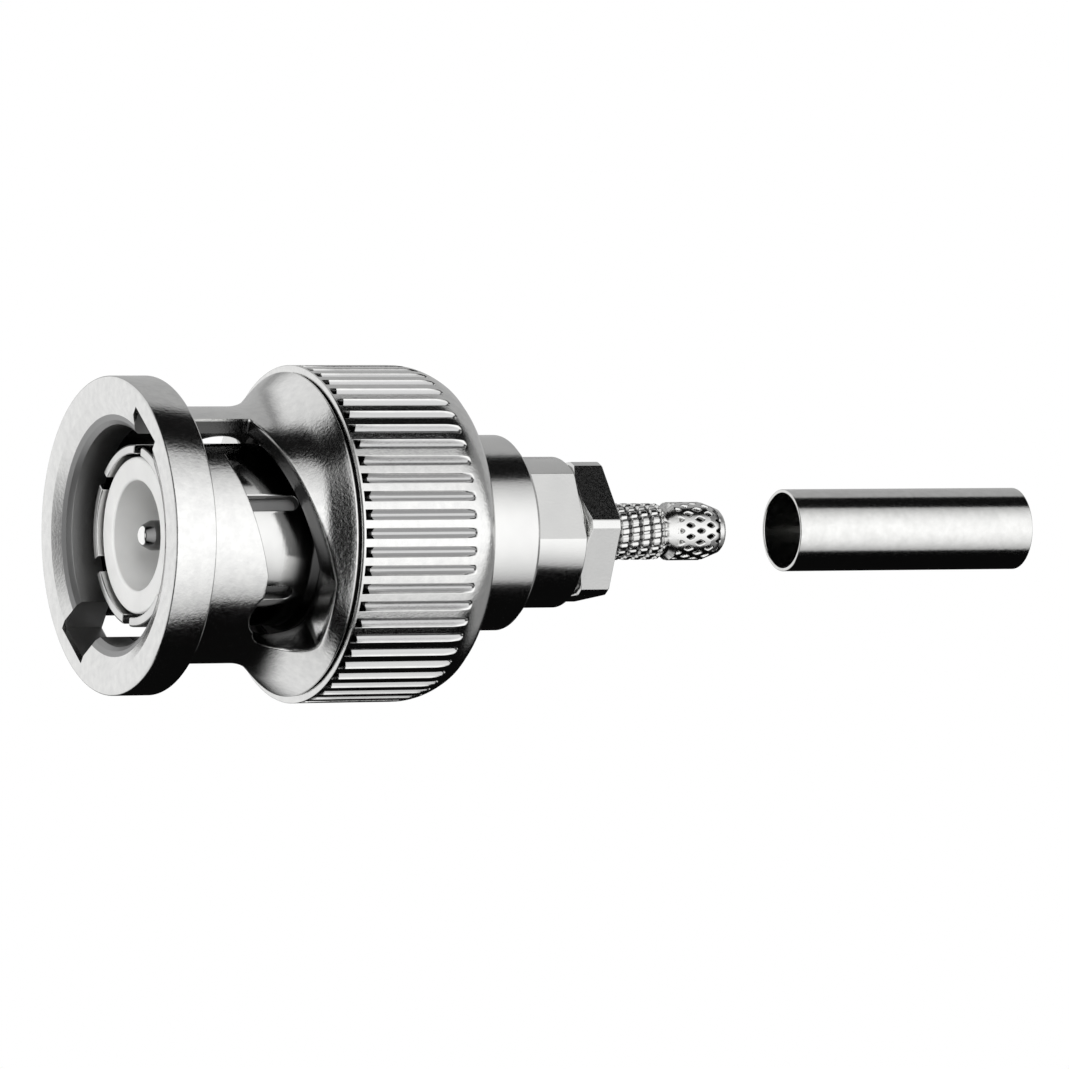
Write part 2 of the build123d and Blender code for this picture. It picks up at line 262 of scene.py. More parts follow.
class Wire:
    # what comes out of a node; sums with wires are written as sums

    def __init__(self, socket):
        self.socket = socket

    def also(self, name):
        return Wire(self.socket.node.outputs[name])

    def calc(self, operation, *others):
        return calc(self.socket.id_data, operation, self, *others)

    def atLeast(self, least):
        return self.calc("MAXIMUM", least)

    def __add__(self, other):
        return self.calc("ADD", other)

    def __sub__(self, other):
        return self.calc("SUBTRACT", other)

    def __rsub__(self, other):
        return calc(self.socket.id_data, "SUBTRACT", other, self)

    def __mul__(self, other):
        return self.calc("MULTIPLY", other)

    def __truediv__(self, other):
        return self.calc("DIVIDE", other)

    def __rtruediv__(self, other):
        return calc(self.socket.id_data, "DIVIDE", other, self)

    def __gt__(self, other):
        return self.calc("GREATER_THAN", other)

    def __lt__(self, other):
        return self.calc("LESS_THAN", other)


def plug(value, socket):
    if isinstance(value, Wire):
        socket.id_data.links.new(value.socket, socket)
    else:
        socket.default_value = value


def addNode(tree, kind, inputs={}, output=0, **settings):
    # one node with its settings and its inputs by socket; gives back the wire from one output
    node = tree.nodes.new(kind)
    for name, value in settings.items():
        setattr(node, name, value)
    for name, value in inputs.items():
        plug(value, node.inputs[name])
    return Wire(node.outputs[output]) if node.outputs else None


def calc(tree, operation, *values):
    return addNode(tree, "ShaderNodeMath", dict(enumerate(values)), operation=operation)


def fade(tree, value, low, high, least=0.0):
    # from least at low to 1 at high, smoothly
    return addNode(tree, "ShaderNodeMapRange", {
        "Value": value, "From Min": low, "From Max": high, "To Min": least,
    }, interpolation_type="SMOOTHSTEP")


def newTree(name, kind, given, result):
    # a tree and its sockets by name; they are floats, unless another kind follows the name
    tree = bpy.data.node_groups.new(name, kind)
    for direction, sockets in (("INPUT", given), ("OUTPUT", result)):
        for socket in sockets:
            label, _, form = socket.partition(":")
            form = "NodeSocket" + (form or "Float")
            tree.interface.new_socket(name=label, in_out=direction, socket_type=form)
    start, end = tree.nodes.new("NodeGroupInput"), tree.nodes.new("NodeGroupOutput")
    return tree, {socket.name: Wire(socket) for socket in start.outputs}, end.inputs


def split(tree, vector):
    first = addNode(tree, "ShaderNodeSeparateXYZ", {"Vector": vector})
    return first, first.also("Y"), first.also("Z")


def aboutAxis(tree, vector):
    # the station and the distance from the axis in mm, and what lies down and near in metres
    x, y, z = split(tree, vector)
    down, near = z * -1, y * -1
    return x / mm, (down * down + near * near).calc("SQRT") / mm, down, near


# Geometry Nodes

def closed(tree, given, result, geometry):
    whole = addNode(tree, "GeometryNodeRealizeInstances", {"Geometry": geometry})
    finish = addNode(tree, "GeometryNodeSetMaterial", {"Geometry": whole, "Material": given["Material"]})
    plug(finish, result["Geometry"])
    return tree


def pressed(tree, given, result, radius, depth):
    # the surface moved towards the axis by a depth in mm, outside the least radius
    x, y, z = split(tree, addNode(tree, "GeometryNodeInputPosition"))
    noLess = 0.01    # keeps the division off the axis
    push = depth * (radius > given["Least Radius"]) * -1 / radius.atLeast(noLess)
    offset = addNode(tree, "ShaderNodeCombineXYZ", {"Y": y * push, "Z": z * push})
    moved = addNode(tree, "GeometryNodeSetPosition", {"Geometry": given["Geometry"], "Offset": offset})
    return closed(tree, given, result, moved)


def millTree():
    # cuts a piece with copies of one cutter, evenly round the axis
    tree, given, result = newTree("millAround", "GeometryNodeTree", [
        "Geometry:Geometry", "Cutter:Object", "Count:Int", "First Angle", "Material:Material",
    ], ["Geometry:Geometry"])
    first = given["First Angle"].calc("RADIANS")
    turn = addNode(tree, "GeometryNodeInputIndex").calc("MULTIPLY_ADD", 2 * math.pi / given["Count"], first)
    euler = addNode(tree, "ShaderNodeCombineXYZ", {"X": turn})
    copies = addNode(tree, "GeometryNodeInstanceOnPoints", {
        "Points": addNode(tree, "GeometryNodePoints", {"Count": given["Count"]}),
        "Instance": addNode(tree, "GeometryNodeObjectInfo", {"Object": given["Cutter"]}, "Geometry"),
        "Rotation": addNode(tree, "FunctionNodeEulerToRotation", {0: euler}),
    })
    solid = addNode(tree, "GeometryNodeRealizeInstances", {0: copies})
    cut = addNode(tree, "GeometryNodeMeshBoolean", {"Mesh 1": given["Geometry"], "Mesh 2": solid}, "Mesh",
                  operation="DIFFERENCE", solver="EXACT")
    return closed(tree, given, result, cut)


def knurlTree():
    # presses two families of lines into a turned surface between two stations on X
    tree, given, result = newTree("knurl", "GeometryNodeTree", [
        "Geometry:Geometry", "Start", "End", "Fade", "Count A", "Lines per mm A", "Count B", "Lines per mm B",
        "Groove A", "Groove B", "Pit Depth", "Line Width", "Line Flat", "Least Radius", "Material:Material",
    ], ["Geometry:Geometry"])
    x, radius, down, near = aboutAxis(tree, addNode(tree, "GeometryNodeInputPosition"))
    turn = down.calc("ARCTAN2", near) / (2 * math.pi)
    low = 0.5 - given["Line Width"]
    high = 0.5 - given["Line Width"] * given["Line Flat"]
    lines = []
    for family in "AB":
        phase = turn.calc("MULTIPLY_ADD", given["Count " + family], x * given["Lines per mm " + family])
        lines.append(fade(tree, (phase.calc("FRACT") - 0.5).calc("ABSOLUTE"), low, high))
    onA, onB = lines
    depth = onA * given["Groove A"] + onB * given["Groove B"] + (1 - onA) * (1 - onB) * given["Pit Depth"]
    rise = fade(tree, x, given["Start"], given["Start"] + given["Fade"])
    fall = fade(tree, x, given["End"], given["End"] + given["Fade"])
    return pressed(tree, given, result, radius, depth * (rise * (1 - fall)))


def fluteTree():
    # flutes along the axis: a flat floor between sloped walls, a round rear end, a pocket at the front
    tree, given, result = newTree("flutes", "GeometryNodeTree", [
        "Geometry:Geometry", "Count", "Start", "End", "Floor Radius", "Half Floor", "Wall Slope", "End Slope",
        "Pocket Length", "Pocket Half", "Pocket Slope", "Least Radius", "Material:Material",
    ], ["Geometry:Geometry"])
    x, radius, down, near = aboutAxis(tree, addNode(tree, "GeometryNodeInputPosition"))
    turn = down.calc("ARCTAN2", near) / (2 * math.pi)
    share = turn.calc("MULTIPLY_ADD", given["Count"], 0.5).calc("FRACT") - 0.5
    aside = share.calc("ABSOLUTE") / given["Count"] * (radius * (2 * math.pi))
    behind = (x - given["End"]).atLeast(0)
    ahead = (given["Start"] - x).atLeast(0)
    away = (aside * aside + behind * behind).calc("SQRT")
    wall = (away - given["Half Floor"]).atLeast(0) * given["Wall Slope"]
    cut = given["Floor Radius"] + (wall + ahead * given["End Slope"])
    pocketEnd = given["Start"] + given["Pocket Length"]
    margin = 0.005    # the columns at the pocket's start belong to it
    inPocket = (aside < given["Pocket Half"]) * ((x > given["Start"] - margin) * (x < pocketEnd))
    pocketFloor = given["Floor Radius"] - (pocketEnd - x) * given["Pocket Slope"]
    cut = cut - inPocket * (cut - pocketFloor)
    return pressed(tree, given, result, radius, (radius - cut).atLeast(0))


def useTree(piece, tree, values):
    modifier = piece.modifiers.new(tree.name, "NODES")
    modifier.node_group = tree
    ids = {item.name: item.identifier for item in tree.interface.items_tree if item.in_out == "INPUT"}
    for name, value in values.items():
        modifier[ids[name]] = value


def mill(piece, cutter, count, firstAngle, material):
    useTree(piece, trees["mill"], {
        "Cutter": cutter, "Count": count, "First Angle": firstAngle, "Material": material,
    })


def discard(piece):
    mesh = piece.data
    bpy.data.objects.remove(piece)
    bpy.data.meshes.remove(mesh)


def settled(piece):
    # the same piece as a plain mesh, with its modifiers in it
    name = piece.name
    graph = bpy.context.evaluated_depsgraph_get()
    mesh = bpy.data.meshes.new_from_object(piece.evaluated_get(graph), depsgraph=graph)
    discard(piece)
    mesh.name = name
    return placed(name, mesh)


# flatArea is the least plane that shades flat, in square millimetres
edgeFinish = {"segments": 2, "bevelAngle": 48, "sharpAngle": 50, "flatArea": 2.5, "flatCosine": 0.5}


def flatNormals(mesh):
    # planes of some size shade flat, and the rounded edges beside them run into them smoothly
    def plane(face):
        return (*(round(value, 3) for value in face.normal), round(face.normal.dot(face.center) / mm, 3))

    keys = [plane(face) for face in mesh.polygons]
    areas = {}
    for face, key in zip(mesh.polygons, keys):
        areas[key] = areas.get(key, 0) + face.area / mm ** 2
    flats = {}
    for face, key in zip(mesh.polygons, keys):
        if areas[key] >= edgeFinish["flatArea"]:
            for corner in face.vertices:
                flats.setdefault(corner, []).append(face.normal.copy())
    normals = [corner.vector.copy() for corner in mesh.corner_normals]
    least = edgeFinish["flatCosine"]
    for face in mesh.polygons:
        for loop, corner in zip(face.loop_indices, face.vertices):
            near = [normal for normal in flats.get(corner, []) if normal.dot(face.normal) > least]
            if near:
                normals[loop] = max(near, key=face.normal.dot)
    mesh.normals_split_custom_set(normals)


def finished(piece, material, body, node, cutter=None, edge=0):
    # milled, its cut edges broken, smoothly shaded, and in place of its CAD node
    piece = settled(piece)
    if cutter:
        discard(cutter)
    if edge:
        bm = bmesh.new()
        bm.from_mesh(piece.data)
        bmesh.ops.remove_doubles(bm, verts=bm.verts, dist=edge * mm / 3)
        bm.to_mesh(piece.data)
        bm.free()
        bevel = piece.modifiers.new("edges", "BEVEL")
        bevel.width = edge * mm
        bevel.segments = edgeFinish["segments"]
        bevel.limit_method = "ANGLE"
        bevel.angle_limit = math.radians(edgeFinish["bevelAngle"])
        bevel.use_clamp_overlap = False
        piece = settled(piece)
    piece.data.shade_smooth()
    piece.data.set_sharp_from_angle(angle=math.radians(edgeFinish["sharpAngle"]))
    even = piece.modifiers.new("even", "WEIGHTED_NORMAL")
    even.keep_sharp = True
    piece = settled(piece)
    if edge:
        flatNormals(piece.data)
    piece.data.materials.clear()
    piece.data.materials.append(material)
    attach(piece, body)
    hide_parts(node)
    print("made", piece.name, len(piece.data.polygons), "faces")
    return piece


# Materials

def noise(tree, vector, scale, detail, rough=0.5):
    return addNode(tree, "ShaderNodeTexNoise", {
        "Vector": vector, "Scale": scale, "Detail": detail, "Roughness": rough,
    }, "Fac")


def turningGroup():
    # fine rings that a lathe tool leaves, the same all the way round the axis
    tree, given, result = newTree("turningMarks", "ShaderNodeTree", ["Rings per mm", "Waver"], ["Height"])
    place = addNode(tree, "ShaderNodeTexCoord", output="Object")
    x, radius, down, near = aboutAxis(tree, place)
    waver = down / -mm * given["Waver"]
    rings = addNode(tree, "ShaderNodeCombineXYZ", {"X": x, "Y": radius, "Z": waver})
    plug(noise(tree, rings, given["Rings per mm"], detail=3), result["Height"])
    return tree


def grainGroup():
    # the fine orange peel of plating, and broad cloudy patches
    tree, given, result = newTree("platingGrain", "ShaderNodeTree", ["Grains per mm", "Clouds per mm"],
                                  ["Height", "Clouds"])
    place = addNode(tree, "ShaderNodeTexCoord", output="Object")
    scaled = addNode(tree, "ShaderNodeVectorMath", {0: place, "Scale": 1 / mm}, operation="SCALE")
    plug(noise(tree, scaled, given["Grains per mm"], detail=4, rough=0.6), result["Height"])
    plug(noise(tree, scaled, given["Clouds per mm"], detail=2), result["Clouds"])
    return tree


def paintedShadeGroup():
    # 1 below a turned surface between two stations, 0 on it: where painted shade darkens a recess and its
    # finish is rougher
    tree, given, result = newTree("recessMask", "ShaderNodeTree", [
        "Start", "End", "Surface Radius", "Blend Start", "Blend Radius", "Light Depth", "Dull Depth",
    ], ["Mask"])
    x, radius, down, near = aboutAxis(tree, addNode(tree, "ShaderNodeTexCoord", output="Object"))
    bend = given["Blend Radius"]    # under 0 where the surface falls
    along = (x - given["Blend Start"]).atLeast(0)
    inner = (1 - (along / bend).calc("POWER", 2)).atLeast(0)
    surface = given["Surface Radius"] + bend * (1 - inner.calc("SQRT"))
    depth = fade(tree, surface - radius, given["Light Depth"], given["Dull Depth"])
    plug(depth * ((x > given["Start"]) * (x < given["End"])), result["Mask"])
    return tree


def spread(tree, value, low, high):
    # noise lies mostly between these two values
    return addNode(tree, "ShaderNodeMapRange", {
        "Value": value, "From Min": 0.3, "From Max": 0.7, "To Min": low, "To Max": high,
    })


def mix(tree, share, first, second, kind="FLOAT"):
    inputs = {"Factor": share, "A": first, "B": second}
    return addNode(tree, "ShaderNodeMix", inputs, "Result", data_type=kind)


def bump(tree, height, distance, inputs={}):
    return addNode(tree, "ShaderNodeBump", {"Height": height, "Distance": distance * mm, **inputs})


def surfaced(name, values):
    # plated metal where the values have rings, and else a moulded body with a faint waxy or matt skin
    material = bpy.data.materials.new(name)
    material.use_nodes = True
    tree = material.node_tree
    shader = tree.nodes["Principled BSDF"].inputs
    clouds = addNode(tree, "ShaderNodeGroup", {
        "Grains per mm": values["grainsPerMm"], "Clouds per mm": values["cloudsPerMm"],
    }, "Clouds", node_tree=groups["grain"])
    grain = clouds.also("Height")
    colour = mix(tree, spread(tree, clouds, 0, 1), (*values["darker"], 1), (*values["lighter"], 1), "RGBA")
    rough = spread(tree, grain, *values["roughness"])
    # each band paints shade into a recess: the colour goes darker there, and the roughness changes
    for dull in values.get("paintedShades", []):
        mask = addNode(tree, "ShaderNodeGroup", dull["place"], "Mask", node_tree=groups["paintedRecessShade"])
        colour = mix(tree, mask, colour, (*dull["colour"], 1), "RGBA")
        rough = mix(tree, mask, rough, dull["roughness"])
    plug(colour, shader["Base Color"])
    plug(rough, shader["Roughness"])
    normal = bump(tree, grain, values["grainHeight"])
    if "ringsPerMm" in values:
        shader["Metallic"].default_value = 1
        rings = addNode(tree, "ShaderNodeGroup", {
            "Rings per mm": values["ringsPerMm"], "Waver": values["waver"],
        }, node_tree=groups["turning"])
        normal = bump(tree, rings, values["ringHeight"], {"Normal": normal})
    else:
        shader["Specular IOR Level"].default_value = values["shine"]
    plug(normal, shader["Normal"])
    return material


def paintedRecessShade(grey, roughness, start, end, surface, light, dull, blendStart=99, blend=0):
    # a stretch of painted shade with its own roughness, from start to end, below a surface: the shade starts
    # at the light depth and is full at the deeper one
    return {"colour": (grey,) * 3, "roughness": roughness, "place": {
        "Start": start, "End": end, "Surface Radius": surface, "Blend Start": blendStart,
        "Blend Radius": blend, "Light Depth": light, "Dull Depth": dull,
    }}


trees = {"mill": millTree(), "knurl": knurlTree(), "flutes": fluteTree()}
groups = {"turning": turningGroup(), "grain": grainGroup(), "paintedRecessShade": paintedShadeGroup()}

nickelLook = {
    "darker": (0.64, 0.64, 0.635), "lighter": (0.69, 0.69, 0.68), "roughness": (0.12, 0.2),
    "ringsPerMm": 16, "waver": 0.02, "ringHeight": 0.0012,
    "grainsPerMm": 9, "cloudsPerMm": 0.5, "grainHeight": 0.0035,
}
nutLook = {
    "darker": (0.66, 0.66, 0.655), "lighter": (0.73, 0.73, 0.72), "roughness": (0.11, 0.19),
    "ringsPerMm": 14, "waver": 0.03, "ringHeight": 0.0012,
    "grainsPerMm": 7, "cloudsPerMm": 2.5, "grainHeight": 0.007,
    # painted shade: these bands darken the colour in the mouth, the slots, the rim's step, the groove and the
    # flutes, and change the roughness there
    "paintedShades": [    # the mouth, the bayonet slots, the rim's step, the turned groove and the grip's flutes
        paintedRecessShade(0.3, 0.42, -0.9, 0.8, surface=7.12, light=0.3, dull=0.8),
        paintedRecessShade(0.1, 0.2, 0.8, 7.0, surface=5.74, light=0.08, dull=0.18, blendStart=4.78, blend=3),
        paintedRecessShade(0.08, 0.3, 7.68, 7.82, surface=7.28, light=0.04, dull=0.12),
        paintedRecessShade(0.05, 0.3, 7.88, 8.29, surface=7.58, light=0.05, dull=0.15),
        paintedRecessShade(0.47, 0.18, 8.29, 13.7, surface=7.58, light=0.015, dull=0.1, blendStart=12.76, blend=-3),
    ],
}
# painted shade: the colour goes darker deep in the rings and the knurl
stemLook = {**nickelLook, "paintedShades": [    # the rings and the knurl
    paintedRecessShade(0.07, 0.3, 23.2, 26.2, surface=1.29, light=0.08, dull=0.14),
    paintedRecessShade(0.04, 0.3, 26.9, 29.2, surface=1.33, light=0.12, dull=0.2),
]}
pinLook = {
    "darker": (0.86, 0.86, 0.85), "lighter": (0.92, 0.92, 0.91), "roughness": (0.06, 0.1),
    "ringsPerMm": 18, "waver": 0.01, "ringHeight": 0.0004,
    "grainsPerMm": 12, "cloudsPerMm": 0.6, "grainHeight": 0.0006,
    # painted shade: the pin's side goes dark grey behind the tip
    "paintedShades": [paintedRecessShade(0.2, 0.15, 0.52, 7, surface=1.2, light=0.1, dull=0.2)],    # its side, behind the tip
}
contactLook = {
    "darker": (0.6, 0.6, 0.595), "lighter": (0.68, 0.68, 0.67), "roughness": (0.08, 0.14),
    "ringsPerMm": 18, "waver": 0.01, "ringHeight": 0.0008,
    "grainsPerMm": 12, "cloudsPerMm": 0.6, "grainHeight": 0.0015,
    # painted shade: the contact's colour goes dark inside the nut, from 5 mm back
    "paintedShades": [paintedRecessShade(0.06, 0.25, 5.0, 12, surface=4.08, light=0.05, dull=0.45, blendStart=5.0, blend=3)],
}
ferruleLook = {
    "darker": (0.62, 0.62, 0.61), "lighter": (0.69, 0.69, 0.68), "roughness": (0.1, 0.17),
    "ringsPerMm": 8, "waver": 0.5, "ringHeight": 0.0012,
    "grainsPerMm": 9, "cloudsPerMm": 2.5, "grainHeight": 0.0025,
}
springLook = {
    "darker": (0.36, 0.36, 0.37), "lighter": (0.5, 0.5, 0.5), "roughness": (0.2, 0.34),
    "ringsPerMm": 12, "waver": 0.05, "ringHeight": 0.001,
    "grainsPerMm": 10, "cloudsPerMm": 1, "grainHeight": 0.002,
}
ptfeLook = {
    "darker": (0.7, 0.7, 0.69), "lighter": (0.76, 0.76, 0.75), "roughness": (0.35, 0.5),
    "shine": 0.4, "grainsPerMm": 6, "cloudsPerMm": 0.7, "grainHeight": 0.002,
    # painted shade: the insulator's side goes dark grey where it shows through the contact's slots
    "paintedShades": [paintedRecessShade(0.26, 0.5, 0.5, 12, surface=3.5, light=0.06, dull=0.02)],    # its side, in the slots
}
siliconeLook = {
    "darker": (0.05, 0.05, 0.05), "lighter": (0.09, 0.088, 0.085), "roughness": (0.55, 0.7),
    "shine": 0.3, "grainsPerMm": 8, "cloudsPerMm": 1, "grainHeight": 0.004,
}
looks = {
    "nickel": surfaced("nickelPlate", nickelLook),
    "nut": surfaced("satinNickelPlate", nutLook),
    "stem": surfaced("stemPlate", stemLook),
    "pin": surfaced("pinPlate", pinLook),
    "contact": surfaced("contactPlate", contactLook),
    "ferrule_metal": surfaced("ferrulePlate", ferruleLook),
    "spring_steel": surfaced("springSteel", springLook),
    "ptfe": surfaced("ptfe", ptfeLook),
    "silicone": surfaced("silicone", siliconeLook),
}
print("materials built")


# Coupling nut

nut = {
    "columns": 256, "seam": 90,
    "frontX": -1.14, "flangeRadius": 7.12, "flangeLength": 1.97, "flangeRound": 0.13,
    "neckRadius": 5.74, "rimRadius": 7.28, "rimFromFront": 8.75, "rimWidth": 0.08,
    "reliefWidth": 0.11, "reliefDepth": 0.2, "flareAngle": 43, "flareBlend": 3.0,
    "gripRadius": 7.58, "gripEdge": 0.05, "crownFromFront": 13.9, "crownRadius": 3.0, "crownLength": 1.75,
    "rearEdge": 0.28, "rearEdgeAngle": 48,
    "faceBoreRadius": 6.0, "leadInRadius": 5.15, "leadInDepth": 0.34, "boreRadius": 4.95,
    "boreEdge": 0.2, "shoulderFromFront": 9.45, "cavityRadius": 6.15,
    "shellStart": 2.3, "shellEnd": 8.54,
    "fluteCount": 57, "fluteWidth": 0.48, "fluteFloorWidth": 0.13, "fluteDepth": 0.24, "fluteFromFront": 9.43,
    "fluteToFront": 14.49, "pocketLength": 0.35, "pocketWidth": 0.46, "pocketSlope": 1.1,
    "fluteFrontWall": 0.03, "pressAbove": 6.9,
    "slotCount": 2, "entryAngle": -51.2, "entryWidth": 2.5, "entryRadius": 6.3, "entryInset": 0.06,
    "entryEnd": 0.05,
    "slotWidth": 2.87, "rampPitch": 10.26, "kneeAngle": 19, "kneeFromFront": 6.72,
    "slotEndAngle": 45.5, "slotEndRadius": 1.48, "seatAngle": 39.5, "seatRadius": 1.3,
    "seatFromFront": 6.15, "seatGap": 0.8, "slotEdge": 0.045, "overrun": 1.2,
    "rampSteps": 34, "levelSteps": 11, "endSteps": 30, "seatSteps": 18,
}


def flareOf(size):
    # the blend's start and end and the radius at any station from the neck to the rim
    bend = math.radians(size.flareAngle)
    neck, blend = size.neckRadius, size.flareBlend
    rimX = size.frontX + size.rimFromFront
    endRadius = neck + blend * (1 - math.cos(bend))
    endX = rimX - (size.rimRadius - endRadius) / math.tan(bend)
    startX = endX - blend * math.sin(bend)

    def radiusAt(x):
        if x <= startX:
            return neck
        if x < endX:
            return neck + blend - math.sqrt(blend ** 2 - (x - startX) ** 2)
        return endRadius + (x - endX) * math.tan(bend)

    return startX, endX, radiusAt


def slotPath(size):
    # one bayonet slot as a closed path of (angle, sideways, x): ramp, level, drilled end and lug seat
    knee = size.kneeAngle
    kneeX = size.frontX + size.kneeFromFront
    endAngle, endRadius = size.slotEndAngle, size.slotEndRadius
    start = size.entryAngle - math.degrees(
        math.asin((size.entryWidth / 2 - size.entryInset) / size.neckRadius))

    def edgeAt(angle, side):
        level = min(max((angle - knee) / (endAngle - knee), 0), 1)
        half = size.slotWidth / 2 * (1 - level) + endRadius * level
        return kneeX - max(knee - angle, 0) / 360 * size.rampPitch + side * half

    ramp = spaced(start, knee, size.rampSteps)
    level = spaced(knee, endAngle, size.levelSteps)[1:]
    path = [(angle, 0, edgeAt(angle, 1)) for angle in ramp + level[:-1]]
    seatX = size.frontX + size.seatFromFront
    apart = math.radians(endAngle - size.seatAngle) * size.neckRadius
    offset = Vector((-apart, seatX - kneeX))
    along = (endRadius ** 2 - size.seatRadius ** 2 + offset.length_squared) / (2 * offset.length)
    across = math.sqrt(endRadius ** 2 - along ** 2)
    unit = offset.normalized()
    meet = unit * along + Vector((-unit.y, unit.x)) * across
    if meet.y > 0:
        meet = unit * along - Vector((-unit.y, unit.x)) * across
    last = math.degrees(math.atan2(meet.y, meet.x))
    path += [(endAngle, side, x) for side, x in arc((0, kneeX), endRadius, 90, last, size.endSteps)]
    first = math.degrees(math.atan2(meet.y - offset.y, meet.x - offset.x))
    drop = kneeX - endRadius - seatX
    final = -180 - math.degrees(math.asin(drop / size.seatRadius))
    seat = arc((0, seatX), size.seatRadius, first, final, size.seatSteps)
    path += [(size.seatAngle, side, x) for side, x in seat[1:]]
    reached = size.seatAngle - math.degrees(
        math.sqrt(size.seatRadius ** 2 - drop ** 2) / size.neckRadius)
    back = [angle for angle in reversed(ramp + level) if angle < reached - size.seatGap]
    return path + [(angle, 0, edgeAt(angle, -1)) for angle in back]


def slotRing(bm, path, radii):
    # the path's vertices at their radii, with the angle and station of each
    ring = []
    for (angle, side, x), radius in zip(path, radii):
        turned = angle + math.degrees(math.asin(side / radius))
        ring.append((bm.verts.new(polar(x, radius, turned)), turned, x))
    return ring


def slotWalls(bm, size, turn, radiusAt):
    # both rims of a slot, rounded over an edge, and the wall between them
    edge, bore, neck = size.slotEdge, size.boreRadius, size.neckRadius
    path = [(angle + turn, side, x) for angle, side, x in slotPath(size)]
    steps = []
    # how far a ring lies outside the path and under the surface, in edge widths
    for grow, drop in ((3, 0), (1, 0), (0.3, 0.3), (0, 1)):
        grown = grownPath(path, neck, grow * edge)
        steps.append((grown, [radiusAt(x) - drop * edge for angle, side, x in grown]))
    top = steps[-1][1]
    for share in (0.25, 0.5, 0.75):
        steps.append((path, [height + (bore + edge - height) * share for height in top]))
    for grow, lift in ((0, 1), (0.3, 0.3), (1, 0), (3, 0)):
        grown = grownPath(path, neck, grow * edge)
        steps.append((grown, [bore + lift * edge] * len(grown)))
    rings = [slotRing(bm, grown, radii) for grown, radii in steps]
    for ring, following in zip(rings, rings[1:]):
        joinRings(bm, [corner[0] for corner in ring], [corner[0] for corner in following])
    return rings[0], rings[-1]


def fluteAngles(size):
    # columns that follow each flute's profile, from the seam round
    pitch = 360 / size.fluteCount
    floor, lip, pocket = size.fluteFloorWidth / 2, size.fluteWidth / 2, size.pocketWidth / 2
    # the floor's middle and edges, the slope, both sides of the pocket's wall, and the lip
    sides = (0, floor * 0.8, floor * 1.1, (floor + pocket) / 2, pocket - 0.008, pocket + 0.008,
             lip + 0.004, lip + 0.02)
    offsets = [math.degrees(side / size.gripRadius) for side in sides]
    offsets = [-offset for offset in offsets[:0:-1]] + offsets + [pitch / 2]
    angles = [i * pitch + offset for i in range(size.fluteCount) for offset in offsets]
    return sorted((angle - size.seam) % 360 + size.seam for angle in angles)


def gripOutline(size):
    front, edge = size.frontX, size.gripEdge
    gripX = front + size.rimFromFront + size.rimWidth + size.reliefWidth
    crownX = front + size.crownFromFront
    crownEnd = crownX + size.crownLength

    def radiusAt(x):
        if x <= crownX:
            return size.gripRadius
        fall = math.sqrt(size.crownRadius ** 2 - (x - crownX) ** 2)
        return size.gripRadius - size.crownRadius + fall

    pocketEnd, end = front + size.fluteFromFront, front + size.fluteToFront
    start = pocketEnd - size.pocketLength
    # close together where the flutes start and end
    stations = [start - 0.05, start - size.fluteFrontWall, start, (start + pocketEnd) / 2]
    stations += [pocketEnd - 0.01, pocketEnd + 0.01] + spaced(pocketEnd, crownX, 4)[1:]
    stations += spaced(crownX, end, 4)[1:-1]
    stations += [end + share * size.fluteWidth / 2 for share in (0, 0.3, 0.45, 0.62, 0.78, 0.9, 1, 1.1)]
    stations += spaced(stations[-1], crownEnd, 7)[1:]
    outline = [(gripX + edge * share, size.gripRadius - edge * drop)
               for share, drop in ((0, 1), (0.3, 0.3), (1, 0))]
    outline += [(x, radiusAt(x)) for x in stations]
    rearX = crownEnd + size.rearEdge
    rearRadius = outline[-1][1] - size.rearEdge * math.tan(math.radians(size.rearEdgeAngle))
    ends = rounded([outline[-1], (rearX, rearRadius, 0.05), (rearX, size.cavityRadius)])
    return outline + ends[1:-1]


